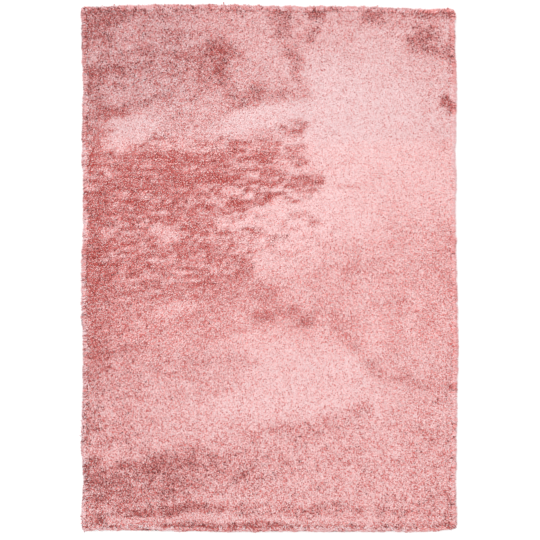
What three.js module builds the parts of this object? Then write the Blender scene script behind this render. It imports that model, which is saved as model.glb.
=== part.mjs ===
// A deep-pile rug lying flat.
// The tufted cloth is one solid, flat below, with a sewn binding along each edge.
// Millimetres, +Z up, +Y towards the head end, origin on the floor under the middle of the rug.
import * as THREE from "three";

const pileWidth = 1250; // across the fallen pile
const pileLength = 1750;
const pileHeight = 25.5; // from the floor to the pile's surface, on the level
const pileOverhang = 25; // how far the pile falls past the binding
const rimHeight = 3; // the outermost tips, above the floor
const tipsClear = 0.8; // under the fallen tips
const tipsTuck = 8; // where the fallen tips start to curl under
const fallWidth = 42; // the band over which the pile rounds off to the rim
const fallBow = 2.4; // how full that round is: 2 is a quarter of an ellipse
const cornerRadius = 22;

const bindingWidth = 6;
const bindingHeight = 5;
const bindingBevel = 1.4;
const seamGap = 0.3; // between the cloth and a binding, and between two bindings

const headDrop = 10.5; // the head edge runs this much out of square
const footDrop = 4.2;
const rightFlare = 4; // the foot end is this much wider on the right
const swayDepth = 4; // the power with which the edges' sway dies away towards the middle

const acrossCells = 28; // even cells between the two edge bands
const alongCells = 42;
const bandInsets = [0, 2.5, 9, 21, 42]; // grid lines from the rim inwards, through the rounded band

// Wide bows of the four edges: distance along the edge, outward reach, half width.
const edgeSways = [
  { side: "left", at: 840, out: 4.5, half: 70 },
  { side: "left", at: 590, out: -3, half: 80 },
  { side: "left", at: 210, out: -3.5, half: 110 },
  { side: "left", at: -55, out: 4, half: 110 },
  { side: "left", at: -330, out: -3.5, half: 110 },
  { side: "left", at: -545, out: 2.5, half: 100 },
  { side: "left", at: -725, out: -3.5, half: 60 },
  { side: "left", at: -840, out: 3.5, half: 50 },
  { side: "right", at: 743, out: -2.3, half: 100 },
  { side: "right", at: 560, out: 1.5, half: 60 },
  { side: "right", at: 403, out: -1.8, half: 50 },
  { side: "right", at: 133, out: -2.8, half: 100 },
  { side: "right", at: -223, out: 4.5, half: 170 },
  { side: "right", at: -707, out: -2.8, half: 200 },
  { side: "head", at: -600, out: -8, half: 60 },
  { side: "head", at: -230, out: 3.5, half: 220 },
  { side: "head", at: 200, out: 2.5, half: 90 },
  { side: "head", at: 460, out: -3, half: 90 },
  { side: "foot", at: -453, out: -3, half: 70 },
  { side: "foot", at: -80, out: 2.2, half: 170 },
  { side: "foot", at: 600, out: -7, half: 55 },
];

// Short nicks and tongues, in the pile's rim only.
const rimNicks = [
  { side: "left", at: 365, out: 3, half: 26 },
  { side: "left", at: -160, out: 3, half: 24 },
  { side: "right", at: 287, out: 3.5, half: 26 },
  { side: "right", at: 590, out: 2, half: 24 },
  { side: "head", at: -523, out: -5, half: 22 },
  { side: "head", at: -440, out: -4, half: 30 },
  { side: "head", at: 137, out: -4, half: 22 },
  { side: "head", at: 315, out: 3.5, half: 22 },
  { side: "head", at: 550, out: -4, half: 30 },
  { side: "foot", at: -617, out: 8, half: 12 },
  { side: "foot", at: 457, out: 3, half: 22 },
];

// Where the pile stands up or has been combed down: centre, half sizes, and rise of the surface.
const pileSwells = [
  { x: -330, y: 350, halfX: 270, halfY: 80, rise: 3 },
  { x: -560, y: 60, halfX: 90, halfY: 230, rise: 3.5 },
  { x: -230, y: 10, halfX: 150, halfY: 110, rise: 2.5 },
  { x: -180, y: 720, halfX: 190, halfY: 90, rise: 3 },
  { x: -60, y: 590, halfX: 80, halfY: 50, rise: 2 },
  { x: 530, y: 755, halfX: 80, halfY: 80, rise: 3 },
  { x: -390, y: -680, halfX: 220, halfY: 80, rise: 3.5 },
  { x: 30, y: -812, halfX: 560, halfY: 30, rise: 2 },
  { x: 90, y: -160, halfX: 110, halfY: 50, rise: 2 },
  { x: 300, y: 390, halfX: 220, halfY: 280, rise: -3.5 },
  { x: -15, y: 500, halfX: 130, halfY: 50, rise: -3 },
  { x: -440, y: 455, halfX: 120, halfY: 50, rise: -2.5 },
  { x: 90, y: -400, halfX: 280, halfY: 150, rise: -2.5 },
  { x: -300, y: -450, halfX: 200, halfY: 110, rise: -2 },
];

const halfWidth = pileWidth / 2;
const halfLength = pileLength / 2;
const clothInset = pileOverhang + bindingWidth; // from the rim to the cut edge of the backing

const bump = (distance, half) => Math.exp(-((distance / half) ** 2));

function reachOf(table, side, along) {
  let reach = 0;
  for (const row of table.filter((entry) => entry.side === side)) {
    reach += row.out * bump(along - row.at, row.half);
  }
  return reach;
}

// Grid lines from one rim to the other: close together through each rounded band, even between them.
function gridLines(half, cells) {
  const inner = half - bandInsets.at(-1);
  const lines = bandInsets.map((inset) => inset - half);
  for (let i = 1; i < cells; i++) {
    lines.push(inner * ((2 * i) / cells - 1));
  }
  return [...lines, ...bandInsets.map((inset) => half - inset).reverse()];
}

// How a point of the true rectangle lies on the floor: out of square, and bowed along the edges.
// nicks is 1 on the pile's rim and 0 elsewhere.
function lie(x, y, nicks) {
  const u = x / halfWidth;
  const v = y / halfLength;
  const sideX = u < 0 ? "left" : "right";
  const sideY = v < 0 ? "foot" : "head";
  const outX = reachOf(edgeSways, sideX, y) + nicks * reachOf(rimNicks, sideX, y);
  const outY = reachOf(edgeSways, sideY, x) + nicks * reachOf(rimNicks, sideY, x);
  const flare = u > 0 ? (rightFlare * (1 - v) * u) / 2 : 0;
  const drop = (v < 0 ? footDrop : headDrop) * Math.abs(v) * (u / 2);
  return [
    x + Math.sign(u) * outX * Math.abs(u) ** swayDepth + flare,
    y + Math.sign(v) * outY * Math.abs(v) ** swayDepth - drop,
  ];
}

// Takes a point of the true rectangle onto the round of its corner.
function roundCorner(x, y) {
  const a = Math.max(0, 1 - (halfWidth - Math.abs(x)) / cornerRadius);
  const b = Math.max(0, 1 - (halfLength - Math.abs(y)) / cornerRadius);
  const shrink = a > 0 && b > 0 ? Math.max(a, b) / Math.hypot(a, b) : 1;
  const dx = a * (1 - shrink) * cornerRadius;
  const dy = b * (1 - shrink) * cornerRadius;
  return [x - Math.sign(x) * dx, y - Math.sign(y) * dy];
}

// 0 on the rim, 1 inside the rounded band.
function fallShare(inset) {
  const t = Math.max(0, 1 - inset / fallWidth);
  return (1 - t ** fallBow) ** (1 / fallBow);
}

function surfaceHeight(x, y) {
  let top = pileHeight;
  for (const row of pileSwells) {
    top += row.rise * bump(x - row.x, row.halfX) * bump(y - row.y, row.halfY);
  }
  const share = fallShare(halfWidth - Math.abs(x)) * fallShare(halfLength - Math.abs(y));
  return rimHeight + (top - rimHeight) * share;
}

const acrossLines = gridLines(halfWidth, acrossCells);
const alongLines = gridLines(halfLength, alongCells);

// The rim's stations in order, anticlockwise from the foot's left corner.
const stations = [
  ...acrossLines.slice(0, -1).map((x) => [x, -halfLength]),
  ...alongLines.slice(0, -1).map((y) => [halfWidth, y]),
  ...acrossLines.slice(1).reverse().map((x) => [x, halfLength]),
  ...alongLines.slice(1).reverse().map((y) => [-halfWidth, y]),
];

// One line all round the rug, a given way in from the rim and up from the floor.
function ring(inset, z) {
  const narrow = (halfWidth - inset) / halfWidth;
  const short = (halfLength - inset) / halfLength;
  return stations.map(([x, y]) => [...lie(x * narrow, y * short, 0), z]);
}

class Shell {
  constructor() {
    this.points = [];
    this.corners = [];
  }
  addLine(line) {
    const first = this.points.length;
    this.points.push(...line);
    return line.map((_, i) => first + i);
  }
  addQuad(a, b, c, d) {
    this.corners.push(a, b, c, a, c, d);
  }
  // Faces between two lines of the same length, closed all round when loop is true.
  bridge(low, high, loop) {
    const steps = loop ? low.length : low.length - 1;
    for (let i = 0; i < steps; i++) {
      const next = (i + 1) % low.length;
      this.addQuad(low[i], low[next], high[next], high[i]);
    }
  }
  bridgeAll(lines, loop) {
    for (let k = 1; k < lines.length; k++) {
      this.bridge(lines[k - 1], lines[k], loop);
    }
  }
  // The flat underside, from the middle of the rug out to a closed line on the floor.
  fan(line) {
    const [middle] = this.addLine([[0, 0, 0]]);
    for (let i = 0; i < line.length; i++) {
      this.corners.push(middle, line[(i + 1) % line.length], line[i]);
    }
  }
  // A flat end over the same place on each of several lines, the lines in turn round their section.
  cap(lines, place) {
    const ends = lines.map((line) => line.at(place));
    for (let i = 1; i < ends.length - 1; i++) {
      this.corners.push(ends[0], ends[i], ends[i + 1]);
    }
  }
  geometry() {
    const made = new THREE.BufferGeometry();
    made.setAttribute("position", new THREE.Float32BufferAttribute(this.points.flat(), 3));
    made.setIndex(this.corners);
    const flat = made.toNonIndexed();
    flat.computeVertexNormals();
    return flat;
  }
}

// The tufted cloth: a grid over the pile's surface, then lines under the fallen tips, round the binding and
// along the cut edge of the backing, and the flat underside.
function pileCloth() {
  const shell = new Shell();
  const rows = alongLines.map((y) =>
    shell.addLine(
      acrossLines.map((x) => {
        const onRim = Math.abs(x) === halfWidth || Math.abs(y) === halfLength;
        const [rx, ry] = roundCorner(x, y);
        return [...lie(rx, ry, onRim ? 1 : 0), surfaceHeight(x, y)];
      }),
    ),
  );
  shell.bridgeAll(rows, false);
  const rim = [
    ...rows[0].slice(0, -1),
    ...rows.slice(0, -1).map((row) => row.at(-1)),
    ...rows.at(-1).slice(1).reverse(),
    ...rows.slice(1).reverse().map((row) => row[0]),
  ];
  const overBinding = bindingHeight + seamGap;
  const channelInset = pileOverhang - seamGap;
  const lines = [
    rim,
    shell.addLine(ring(tipsTuck, tipsClear)),
    shell.addLine(ring(channelInset, tipsClear)),
    shell.addLine(ring(channelInset, overBinding)),
    shell.addLine(ring(clothInset, overBinding)),
    shell.addLine(ring(clothInset, 0)),
  ];
  lines.reverse();
  shell.bridgeAll(lines, true);
  shell.fan(lines[0]);
  return shell.geometry();
}

// One run of binding beside the backing's cut edge: a bevelled strip, mitred where it meets the next run.
function bindingRun(first, count) {
  const shell = new Shell();
  const outer = pileOverhang;
  const inner = clothInset - seamGap;
  const section = [
    [outer + bindingBevel, 0],
    [outer, bindingBevel],
    [outer, bindingHeight - bindingBevel],
    [outer + bindingBevel, bindingHeight],
    [inner, bindingHeight],
    [inner, 0],
  ];
  const lines = section.map(([inset, z]) => {
    const around = ring(inset, z);
    const run = [...around, around[0]].slice(first, first + count + 1);
    const start = pulledBack(run[0], run[1]);
    const end = pulledBack(run[count], run[count - 1]);
    return shell.addLine([start, ...run.slice(1, -1), end]);
  });
  shell.bridgeAll([...lines, lines[0]], false);
  shell.cap(lines, 0);
  shell.cap([...lines].reverse(), -1);
  return shell.geometry();
}

// The end of a run, moved back along the run so that two runs stay apart at the mitre.
function pulledBack([endX, endY, z], [nextX, nextY]) {
  const share = seamGap / Math.hypot(nextX - endX, nextY - endY);
  return [endX + (nextX - endX) * share, endY + (nextY - endY) * share, z];
}

function named(name, geometry, material) {
  const mesh = new THREE.Mesh(geometry, material);
  mesh.name = name;
  return mesh;
}

const pileYarn = new THREE.MeshStandardMaterial({ color: 0xe2a7a6, roughness: 0.85, metalness: 0 });
const bindingYarn = new THREE.MeshStandardMaterial({ color: 0xc79594, roughness: 0.9, metalness: 0 });

const rug = new THREE.Group();
rug.add(named("pile_cloth", pileCloth(), pileYarn));

const acrossRun = acrossLines.length - 1;
const alongRun = alongLines.length - 1;
const runs = [
  { name: "binding_foot", count: acrossRun },
  { name: "binding_right", count: alongRun },
  { name: "binding_head", count: acrossRun },
  { name: "binding_left", count: alongRun },
];
let first = 0;
for (const { name, count } of runs) {
  rug.add(named(name, bindingRun(first, count), bindingYarn));
  first += count;
}

// The rug's own box is centred over the origin.
const middle = new THREE.Box3().setFromObject(rug).getCenter(new THREE.Vector3());
rug.position.set(-middle.x, -middle.y, 0);

export default rug;
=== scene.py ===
# A deep-pile shaggy rug lying flat: woven backing, overlocked edge, undercoat and tufts of yarn.
import math
import bmesh
import bpy
import numpy as np
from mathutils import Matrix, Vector
from mathutils.bvhtree import BVHTree


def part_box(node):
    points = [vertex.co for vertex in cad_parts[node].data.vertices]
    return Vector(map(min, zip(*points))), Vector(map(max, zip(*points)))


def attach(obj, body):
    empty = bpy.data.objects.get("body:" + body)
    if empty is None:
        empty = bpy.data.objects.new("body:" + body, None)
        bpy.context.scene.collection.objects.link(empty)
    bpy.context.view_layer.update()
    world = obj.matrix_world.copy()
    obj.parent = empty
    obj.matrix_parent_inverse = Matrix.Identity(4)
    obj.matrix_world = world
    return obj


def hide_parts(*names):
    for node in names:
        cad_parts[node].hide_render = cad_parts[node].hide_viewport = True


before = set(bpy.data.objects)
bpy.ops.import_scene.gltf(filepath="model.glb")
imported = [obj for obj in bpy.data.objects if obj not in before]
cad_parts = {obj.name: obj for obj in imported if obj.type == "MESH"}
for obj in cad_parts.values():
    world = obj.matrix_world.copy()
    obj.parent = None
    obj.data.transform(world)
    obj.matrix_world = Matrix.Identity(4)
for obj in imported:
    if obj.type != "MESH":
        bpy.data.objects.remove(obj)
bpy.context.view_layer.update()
print("rug: frame loaded")

mm = 0.001
tiny = 1e-9


def smoothStep(low, high, value):
    share = np.clip((value - low) / (high - low), 0, 1)
    return share * share * (3 - 2 * share)


def blend(a, b, share):
    return a + (b - a) * share


def softNoise(x, y, sizeX, sizeY, seed):
    # smooth random swells from -1 to 1, each about sizeX by sizeY across
    cells = 128
    middle = 60.5  # the rug's middle, in cells
    table = np.random.default_rng(seed).uniform(-1, 1, (cells, cells))
    u = x / sizeX + middle
    v = y / sizeY + middle
    i = np.floor(u).astype(int)
    j = np.floor(v).astype(int)
    s = smoothStep(0, 1, u - i)
    t = smoothStep(0, 1, v - j)
    i0, i1, j0, j1 = i % cells, (i + 1) % cells, j % cells, (j + 1) % cells
    near = blend(table[i0, j0], table[i1, j0], s)
    far = blend(table[i0, j1], table[i1, j1], s)
    return blend(near, far, t)


def layered(x, y, layers, start=0):
    # layers of swells over a starting value, each with its strength, sizes across and along, and seed
    return sum((strength * softNoise(x, y, *swells) for strength, *swells in layers), start)


everywhere = (-9, -8)  # a fade that is over before the rug begins


def zoned(x, y, ground, *zones):
    # a value that changes over the rug: each zone adds its gain past its two fades, across and along
    value = ground
    for gain, across, along in zones:
        value = value + gain * smoothStep(*across, x) * smoothStep(*along, y)
    return value


class Wire:
    # a socket or a number that can be used in sums
    def __init__(self, tree, socket):
        self.tree = tree
        self.socket = socket

    def sum(self, kind, *others, clamp=False):
        node = self.tree.nodes.new("ShaderNodeMath")
        node.operation = kind
        node.use_clamp = clamp
        for place, value in enumerate((self, *others)):
            feed(self.tree, node.inputs[place], value)
        return Wire(self.tree, node.outputs[0])

    def __add__(self, other):
        return self.sum("ADD", other)

    __radd__ = __add__

    def __sub__(self, other):
        return self.sum("SUBTRACT", other)

    def __rsub__(self, other):
        return self.sum("MULTIPLY_ADD", -1.0, other)

    def __mul__(self, other):
        return self.sum("MULTIPLY", other)

    __rmul__ = __mul__

    def __truediv__(self, other):
        return self.sum("DIVIDE", other)


def feed(tree, socket, value):
    if isinstance(value, Wire):
        tree.links.new(value.socket, socket)
    else:
        socket.default_value = value


class Shader:
    # one material's nodes: add() takes a node's type, its settings, then its sockets' values or links
    def __init__(self, name, **gloss):
        self.material = bpy.data.materials.new(name)
        self.material.use_nodes = True
        self.tree = self.material.node_tree
        self.surface = self.tree.nodes["Principled BSDF"]
        self.finish(**gloss)

    def add(self, kind, settings=None, output=0, **values):
        node = self.tree.nodes.new(kind)
        for key, value in (settings or {}).items():
            if key == "stops":
                ramp = node.color_ramp
                while len(ramp.elements) < len(value):
                    ramp.elements.new(0.5)
                for element, (place, colour) in zip(ramp.elements, value):
                    element.position = place
                    element.color = (*colour, 1)
            else:
                setattr(node, key, value)
        for key, value in values.items():
            socket = node.inputs[int(key[1:])] if key[1:].isdigit() else node.inputs[key.replace("_", " ")]
            feed(self.tree, socket, value)
        return Wire(self.tree, node.outputs[output])

    def acrossAndUp(self, place):
        # the first two parts of a place
        across = self.add("ShaderNodeSeparateXYZ", i0=place)
        return across, Wire(self.tree, across.socket.node.outputs[1])

    def mix(self, share, a, b, how="MIX"):
        settings = {"data_type": "RGBA", "blend_type": how, "clamp_factor": True}
        return self.add("ShaderNodeMix", settings, output=2, i0=share, i6=a, i7=b)

    def finish(self, **values):
        for key, value in values.items():
            feed(self.tree, self.surface.inputs[key.replace("_", " ")], value)
        return self.material


form = {
    "rimZ": 3 * mm,  # the height of the pile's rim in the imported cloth
    "cutInset": 31 * mm,  # the backing's cut edge, in from the rim
    "sideBand": 40 * mm,  # a side's rim points lie this near the side of the box
    "middleSize": 0.3,  # no edge's point is this near the middle of the rug, in metres
    "tolerance": 0.2 * mm,
    "mergeGap": 0.01 * mm,
}

cloth = bmesh.new()
cloth.from_mesh(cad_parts["pile_cloth"].data)
bmesh.ops.remove_doubles(cloth, verts=cloth.verts, dist=form["mergeGap"])
clothTree = BVHTree.FromBMesh(cloth)
low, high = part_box("pile_cloth")
above = high.z + 10 * mm
down = Vector((0, 0, -1))


def topAt(x, y):
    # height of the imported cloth's surface, and 0 outside it
    hits = (clothTree.ray_cast(Vector((a, b, above)), down)[0] for a, b in zip(x, y))
    return np.array([hit.z if hit else 0 for hit in hits])


rim = np.array([v.co[:] for v in cloth.verts if abs(v.co.z - form["rimZ"]) < form["tolerance"]])


def sideLine(axis, sign):
    # one side of the rim, as reach against place along it
    along = 1 - axis
    furthest = sign * (high if sign > 0 else low)[axis]
    side = rim[sign * rim[:, axis] > furthest - form["sideBand"]]
    side = side[np.argsort(side[:, along])]
    return side[:, along], side[:, axis]


sideLines = {
    "left": sideLine(0, -1),
    "right": sideLine(0, 1),
    "foot": sideLine(1, -1),
    "head": sideLine(1, 1),
}


def insets(x, y):
    # how far in from the rim a point is, measured square to each side
    left = x - np.interp(y, *sideLines["left"])
    right = np.interp(y, *sideLines["right"]) - x
    foot = y - np.interp(x, *sideLines["foot"])
    head = np.interp(x, *sideLines["head"]) - y
    return left, right, foot, head


print("rug: surface sampled,", len(rim), "rim points")


# Patches in the order they were brushed, each over the last: centre and half sizes in metres, turn in
# degrees, stand (0 combed flat, 1 upright), and where they aren't the usual ones, how strongly it shows
# and how soft its edge is.
napStrokes = [
    # broad ground
    (-0.38, 0.68, 0.3, 0.24, 0, 0.5, 0.95, 0.45),
    (-0.3, 0.48, 0.36, 0.08, 0, 0.34, 0.9, 0.6),
    (0.0, 0.72, 0.16, 0.2, 0, 0.3, 0.9, 0.6),
    (0.36, 0.47, 0.32, 0.42, 0, 0.08, 0.95, 0.45),
    (0.57, 0.48, 0.07, 0.26, 0, 0.22, 0.7, 0.8),
    (0.28, 0.38, 0.18, 0.32, 0, 0.0, 0.95, 0.8),
    (0.46, 0.22, 0.22, 0.14, 0, 0.15, 0.7, 0.8),
    (0.5, -0.1, 0.22, 0.26, 0, 0.34, 0.95, 0.5),
    (0.12, 0.12, 0.2, 0.16, 0, 0.24, 0.9, 0.6),
    (0.1, -0.02, 0.2, 0.12, 0, 0.28),
    (-0.4, 0.15, 0.3, 0.225, 0, 0.58, 0.95, 0.22),
    (-0.12, 0.295, 0.3, 0.08, 0, 0.54, 0.9, 0.3),
    (-0.16, 0.0, 0.12, 0.12, -20, 0.54, 0.85, 0.5),
    (-0.45, -0.1, 0.22, 0.07, 0, 0.54),
    (-0.42, -0.2, 0.26, 0.1, 0, 0.48),
    (-0.3, -0.4, 0.42, 0.16, 0, 0.36),
    (-0.54, -0.46, 0.1, 0.18, 0, 0.48, 0.7, 0.8),
    (-0.16, -0.5, 0.32, 0.08, 0, 0.22, 0.7, 0.7),
    (0.32, -0.6, 0.42, 0.22, 0, 0.34, 0.9, 0.6),
    (0.53, -0.68, 0.14, 0.14, 0, 0.42, 0.7, 0.8),
    (0.1, -0.36, 0.25, 0.12, -10, 0.1, 0.95, 0.5),
    # head end, left
    (-0.3, 0.82, 0.12, 0.05, 0, 0.4, 0.6, 0.7),
    (-0.46, 0.74, 0.06, 0.04, 10, 0.38, 0.6, 0.7),
    (-0.56, 0.83, 0.07, 0.035, 5, 0.9, 0.85, 0.6),
    (-0.58, 0.7, 0.05, 0.14, 0, 0.58, 0.6, 0.7),
    (-0.19, 0.795, 0.05, 0.03, 0, 0.3),
    (-0.3, 0.765, 0.04, 0.018, 0, 0.62, 0.7, 0.6),
    (-0.57, 0.76, 0.05, 0.03, 0, 0.64, 0.7, 0.6),
    (-0.43, 0.717, 0.03, 0.02, 0, 0.62, 0.7, 0.6),
    (-0.53, 0.72, 0.03, 0.03, 0, 0.42, 0.6, 0.7),
    (-0.155, 0.72, 0.046, 0.03, -15, 0.88),
    (-0.165, 0.65, 0.018, 0.065, 32, 0.82, 0.85, 0.7),
    (-0.105, 0.665, 0.016, 0.025, 0, 0.36, 0.7, 0.7),
    (-0.24, 0.66, 0.08, 0.05, 0, 0.6, 0.6, 0.7),
    (-0.16, 0.59, 0.045, 0.018, 0, 0.36),
    (-0.55, 0.655, 0.05, 0.014, 12, 0.9),
    (-0.34, 0.62, 0.05, 0.02, 0, 0.36, 0.6, 0.7),
    (-0.44, 0.62, 0.06, 0.02, 0, 0.36, 0.6, 0.7),
    (-0.35, 0.585, 0.12, 0.016, 3, 0.32, 0.7, 0.7),
    # head end, middle and right
    (0.22, 0.77, 0.24, 0.08, 0, 0.33, 0.6, 0.8),
    (0.5, 0.68, 0.12, 0.06, 0, 0.3, 0.6, 0.8),
    (0.03, 0.82, 0.045, 0.03, -15, 0.66),
    (0.035, 0.775, 0.022, 0.035, 25, 0.54),
    (0.155, 0.78, 0.014, 0.028, 0, 0.6),
    (0.1, 0.815, 0.016, 0.026, 0, 0.56),
    (0.09, 0.76, 0.016, 0.06, 10, 0.5, 0.6, 0.7),
    (0.06, 0.72, 0.02, 0.08, 22, 0.58, 0.8, 0.7),
    (0.08, 0.64, 0.016, 0.07, 12, 0.56, 0.8, 0.7),
    (0.345, 0.845, 0.04, 0.025, -5, 0.74),
    (0.4, 0.83, 0.14, 0.036, 0, 0.54, 0.6, 0.7),
    (0.56, 0.85, 0.09, 0.026, 0, 0.72),
    (0.515, 0.758, 0.045, 0.055, -20, 0.66, 0.85, 0.7),
    (0.58, 0.715, 0.05, 0.035, -25, 0.58, 0.8, 0.7),
    (0.605, 0.73, 0.024, 0.11, 0, 0.56, 0.7, 0.7),
    (0.612, 0.536, 0.024, 0.034, 0, 0.84, 0.9, 0.45),
    (-0.06, 0.57, 0.055, 0.027, 40, 0.78),
    (-0.19, 0.53, 0.05, 0.02, 0, 0.3, 0.75, 0.6),
    (-0.1, 0.54, 0.05, 0.014, 35, 0.56, 0.7, 0.7),
    (0.04, 0.6, 0.06, 0.025, 0, 0.46, 0.6, 0.8),
    (0.02, 0.562, 0.11, 0.016, 3, 0.56, 0.75, 0.6),
    # round the pale tongue
    (-0.56, 0.52, 0.04, 0.03, 0, 0.72, 0.7, 0.6),
    (-0.01, 0.5, 0.125, 0.04, 9, 0.02, 0.97, 0.3),
    (-0.12, 0.455, 0.1, 0.025, 16, 0.22),
    (-0.47, 0.45, 0.11, 0.052, 8, 0.12, 0.97, 0.25),
    (-0.52, 0.512, 0.08, 0.022, 13, 0.8, 0.9, 0.45),
    (-0.42, 0.545, 0.05, 0.014, 14, 0.66, 0.75, 0.6),
    (-0.36, 0.53, 0.08, 0.016, 5, 0.34, 0.6, 0.7),
    (-0.56, 0.578, 0.05, 0.018, 0, 0.38),
    (-0.37, 0.5, 0.07, 0.016, 22, 0.22, 0.7, 0.7),
    (-0.27, 0.475, 0.05, 0.03, 0, 0.4, 0.6, 0.8),
    (-0.6, 0.47, 0.026, 0.07, 0, 0.74),
    (-0.21, 0.398, 0.1, 0.016, 0, 0.22),
    (-0.38, 0.4, 0.03, 0.012, 0, 0.7),
    (0.095, 0.462, 0.032, 0.022, 20, 0.56, 0.8, 0.7),
    (-0.585, 0.437, 0.022, 0.034, 0, 0.76),
    (-0.04, 0.475, 0.09, 0.02, 9, 0.04, 0.9, 0.4),
    (0.02, 0.42, 0.08, 0.014, 14, 0.26),
    (-0.05, 0.386, 0.07, 0.014, 5, 0.8, 0.8, 0.5),
    (0.09, 0.385, 0.05, 0.016, 5, 0.62, 0.8, 0.5),
    (-0.17, 0.428, 0.05, 0.014, 10, 0.26),
    (-0.07, 0.412, 0.1, 0.013, -4, 0.74),
    (-0.115, 0.398, 0.022, 0.014, 0, 0.84),
    (0.06, 0.458, 0.026, 0.01, 12, 0.56),
    (0.116, 0.476, 0.018, 0.016, 0, 0.58),
    (-0.03, 0.446, 0.03, 0.008, 12, 0.12),
    (0.04, 0.44, 0.06, 0.012, 10, 0.52),
    (-0.05, 0.424, 0.04, 0.01, 8, 0.5, 0.7, 0.6),
    # the combed rows at the left
    (-0.36, 0.362, 0.28, 0.024, 1, 0.76, 0.85, 0.45),
    (-0.56, 0.365, 0.07, 0.022, 0, 0.86),
    (0.06, 0.346, 0.14, 0.022, -3, 0.38, 0.85, 0.5),
    (-0.34, 0.335, 0.22, 0.014, 0, 0.68, 0.7, 0.6),
    (0.02, 0.336, 0.05, 0.013, 0, 0.2, 0.9, 0.5),
    (-0.06, 0.372, 0.05, 0.016, 0, 0.86),
    (0.07, 0.368, 0.05, 0.012, 0, 0.72),
    (-0.25, 0.343, 0.06, 0.012, 0, 0.84, 0.7, 0.6),
    (-0.3, 0.285, 0.26, 0.022, 0, 0.86, 0.85, 0.6),
    (0.06, 0.29, 0.15, 0.026, -3, 0.7, 0.9, 0.45),
    (-0.3, 0.258, 0.22, 0.014, 2, 0.66, 0.7, 0.6),
    (-0.01, 0.258, 0.12, 0.01, 3, 0.24, 0.75, 0.6),
    (-0.14, 0.265, 0.05, 0.012, 0, 0.72, 0.75, 0.6),
    (-0.55, 0.262, 0.07, 0.02, 0, 0.88),
    (-0.46, 0.232, 0.07, 0.02, 0, 0.42),
    (-0.37, 0.14, 0.03, 0.02, 0, 0.82, 0.7, 0.6),
    (-0.33, 0.29, 0.1, 0.035, 0, 0.84, 0.6, 0.7),
    (-0.482, 0.29, 0.03, 0.022, 0, 0.9),
    (-0.01, 0.318, 0.05, 0.018, 0, 0.44, 0.7, 0.6),
    (-0.012, 0.229, 0.04, 0.01, 15, 0.36, 0.7, 0.6),
    (-0.095, 0.196, 0.045, 0.014, 8, 0.38, 0.7, 0.6),
    (-0.055, 0.121, 0.045, 0.01, 0, 0.3, 0.7, 0.6),
    (-0.57, 0.246, 0.02, 0.016, 0, 0.86),
    (-0.52, 0.312, 0.04, 0.016, 0, 0.4, 0.85, 0.6),
    (-0.275, 0.185, 0.03, 0.03, 0, 0.84),
    (-0.276, 0.254, 0.022, 0.012, 0, 0.82),
    (-0.375, 0.095, 0.03, 0.022, 0, 0.8, 0.75, 0.6),
    (-0.44, 0.212, 0.03, 0.018, 0, 0.5),
    (0.0, 0.322, 0.05, 0.008, 0, 0.4),
    (-0.03, 0.238, 0.06, 0.01, 0, 0.35),
    (0.13, 0.255, 0.06, 0.012, 0, 0.2),
    (0.0, 0.233, 0.22, 0.014, 4, 0.14, 0.85, 0.5),
    (-0.045, 0.219, 0.12, 0.013, 7, 0.84, 0.9, 0.5),
    (0.05, 0.19, 0.2, 0.02, 5, 0.16),
    (-0.38, 0.205, 0.2, 0.026, 0, 0.68, 0.75, 0.6),
    (0.23, 0.27, 0.04, 0.14, 6, 0.0, 0.95, 0.35),
    (0.264, 0.272, 0.03, 0.007, -8, 0.42, 0.75, 0.6),
    (0.327, 0.276, 0.022, 0.006, -8, 0.38, 0.75, 0.6),
    (0.27, 0.13, 0.02, 0.06, 14, 0.24, 0.6, 0.6),
    (0.37, 0.3, 0.05, 0.035, -10, 0.24, 0.6, 0.8),
    (0.17, 0.115, 0.055, 0.016, 0, 0.08, 0.85, 0.6),
    (0.305, 0.16, 0.024, 0.06, 8, 0.03),
    (0.355, 0.03, 0.03, 0.03, 0, 0.44, 0.7, 0.6),
    # left edge and left middle
    (-0.16, 0.12, 0.09, 0.05, 0, 0.36),
    (-0.49, 0.18, 0.06, 0.022, 0, 0.84, 0.7, 0.6),
    (-0.3, 0.17, 0.04, 0.03, 0, 0.72, 0.7, 0.6),
    (-0.595, 0.08, 0.035, 0.32, 0, 0.86, 0.85, 0.6),
    (-0.602, 0.262, 0.018, 0.022, 0, 0.5),
    (-0.525, 0.155, 0.05, 0.022, 0, 0.85),
    (-0.53, 0.0, 0.06, 0.03, 0, 0.84, 0.7, 0.6),
    (-0.55, 0.03, 0.07, 0.06, 0, 0.88),
    (-0.11, -0.01, 0.05, 0.04, 0, 0.66, 0.7, 0.6),
    (-0.345, 0.12, 0.05, 0.028, 0, 0.26, 0.85, 0.6),
    (-0.48, 0.16, 0.07, 0.03, 0, 0.6, 0.6, 0.8),
    (-0.47, 0.07, 0.08, 0.04, 0, 0.58, 0.6, 0.8),
    (-0.51, -0.03, 0.04, 0.025, 0, 0.58, 0.7, 0.6),
    (-0.55, 0.035, 0.03, 0.03, 0, 0.88),
    (-0.6, -0.04, 0.03, 0.06, 0, 0.84),
    (-0.24, 0.15, 0.05, 0.05, 0, 0.6, 0.6, 0.8),
    (-0.235, 0.052, 0.05, 0.028, 0, 0.84, 0.85, 0.6),
    (-0.16, 0.024, 0.028, 0.016, 0, 0.46),
    (-0.1, 0.04, 0.03, 0.02, 0, 0.5, 0.7, 0.6),
    (-0.115, -0.015, 0.05, 0.03, 0, 0.72, 0.7, 0.6),
    (-0.565, -0.035, 0.05, 0.03, 0, 0.74),
    (-0.615, -0.07, 0.016, 0.03, 0, 0.9),
    (-0.495, -0.035, 0.025, 0.03, 0, 0.44),
    (-0.19, 0.0, 0.09, 0.05, -10, 0.6, 0.7, 0.7),
    (-0.34, -0.03, 0.12, 0.05, 0, 0.58, 0.6, 0.8),
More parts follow.
